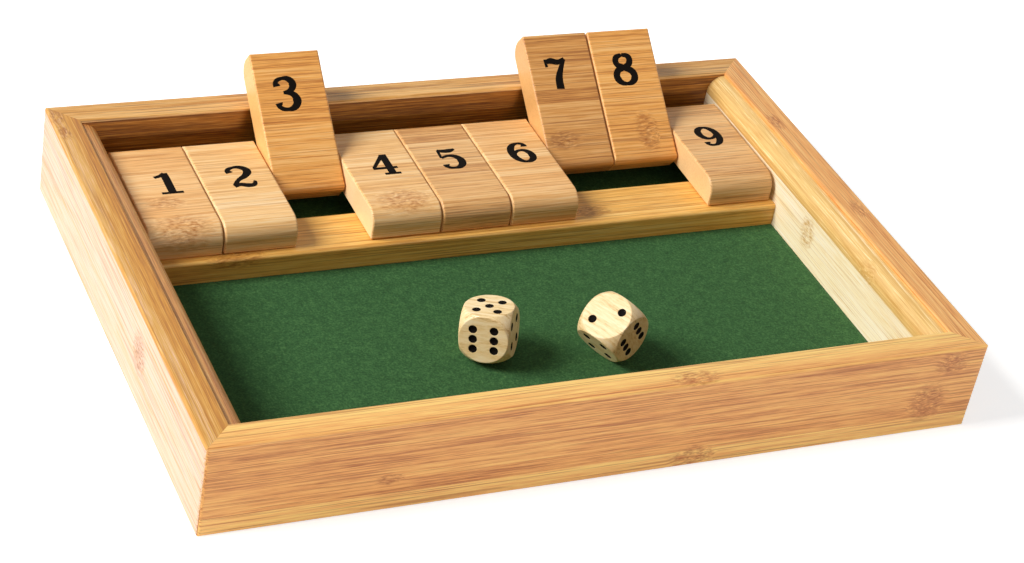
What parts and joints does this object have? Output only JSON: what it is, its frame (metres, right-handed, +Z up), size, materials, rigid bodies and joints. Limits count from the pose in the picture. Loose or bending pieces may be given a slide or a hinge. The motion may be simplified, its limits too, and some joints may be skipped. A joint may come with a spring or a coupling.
{
  "type": "shut the box game",
  "caption": "Shallow bamboo dice tray with a felt floor and a row of numbered tiles that flip over on a rod at the back, with wooden dice.",
  "frame": {"origin": "on the table, under the middle of the case", "axes": "+X to the player's right along the row of tiles, +Y away from the player towards the tiles, +Z up"},
  "size_m": [0.29, 0.2004, 0.055],
  "materials": {
    "rail_bamboo": "clear lacquer, satin",
    "liner_bamboo": "clear lacquer, satin",
    "bar_bamboo": "clear lacquer, satin",
    "tile_bamboo": "clear lacquer, satin",
    "tile_bamboo_tan": "clear lacquer, satin",
    "floor_board": "raw board",
    "green_felt": "matt pile",
    "rod_steel": "drawn wire",
    "die_wood": "thin clear lacquer",
    "black_ink": "printed"
  },
  "bodies": {
    "case": {"front_rail": "rail_bamboo", "back_rail": "rail_bamboo", "left_rail": "rail_bamboo", "right_rail": "rail_bamboo", "left_liner": "liner_bamboo", "right_liner": "liner_bamboo", "base_panel": "floor_board", "felt_sheet": "green_felt", "rest_bar": "bar_bamboo", "hinge_rod": "rod_steel"},
    "tile_1": {"tile_1": "tile_bamboo"},
    "tile_2": {"tile_2": "tile_bamboo"},
    "tile_3": {"tile_3": "tile_bamboo"},
    "tile_4": {"tile_4": "tile_bamboo"},
    "tile_5": {"tile_5": "tile_bamboo_tan"},
    "tile_6": {"tile_6": "tile_bamboo"},
    "tile_7": {"tile_7": "tile_bamboo_tan"},
    "tile_8": {"tile_8": "tile_bamboo"},
    "tile_9": {"tile_9": "tile_bamboo_tan"},
    "die_1": {"die_1": "die_wood"},
    "die_2": {"die_2": "die_wood"}
  },
  "joints": [
    {"name": "tile_1_flip", "type": "hinge", "parent": "case", "child": "tile_1", "pos_m": [-0.1122, 0.0673, 0.024], "axis": [-1, 0, 0], "range_deg": [0, 142.8]},
    {"name": "tile_2_flip", "type": "hinge", "parent": "case", "child": "tile_2", "pos_m": [-0.08415, 0.0673, 0.024], "axis": [-1, 0, 0], "range_deg": [0, 142.8]},
    {"name": "tile_3_flip", "type": "hinge", "parent": "case", "child": "tile_3", "pos_m": [-0.0561, 0.0673, 0.024], "axis": [-1, 0, 0], "range_deg": [-142.8, 0]},
    {"name": "tile_4_flip", "type": "hinge", "parent": "case", "child": "tile_4", "pos_m": [-0.02805, 0.0673, 0.024], "axis": [-1, 0, 0], "range_deg": [0, 142.8]},
    {"name": "tile_5_flip", "type": "hinge", "parent": "case", "child": "tile_5", "pos_m": [0, 0.0673, 0.024], "axis": [-1, 0, 0], "range_deg": [0, 142.8]},
    {"name": "tile_6_flip", "type": "hinge", "parent": "case", "child": "tile_6", "pos_m": [0.02805, 0.0673, 0.024], "axis": [-1, 0, 0], "range_deg": [0, 142.8]},
    {"name": "tile_7_flip", "type": "hinge", "parent": "case", "child": "tile_7", "pos_m": [0.0561, 0.0673, 0.024], "axis": [-1, 0, 0], "range_deg": [-142.8, 0]},
    {"name": "tile_8_flip", "type": "hinge", "parent": "case", "child": "tile_8", "pos_m": [0.08415, 0.0673, 0.024], "axis": [-1, 0, 0], "range_deg": [-142.8, 0]},
    {"name": "tile_9_flip", "type": "hinge", "parent": "case", "child": "tile_9", "pos_m": [0.1122, 0.0673, 0.024], "axis": [-1, 0, 0], "range_deg": [0, 142.8]},
    {"name": "die_1_lift", "type": "slide", "parent": "case", "child": "die_1", "axis": [0, 0, 1], "range_m": [0, 0.06]},
    {"name": "die_2_lift", "type": "slide", "parent": "case", "child": "die_2", "axis": [0, 0, 1], "range_m": [0, 0.06]}
  ]
}
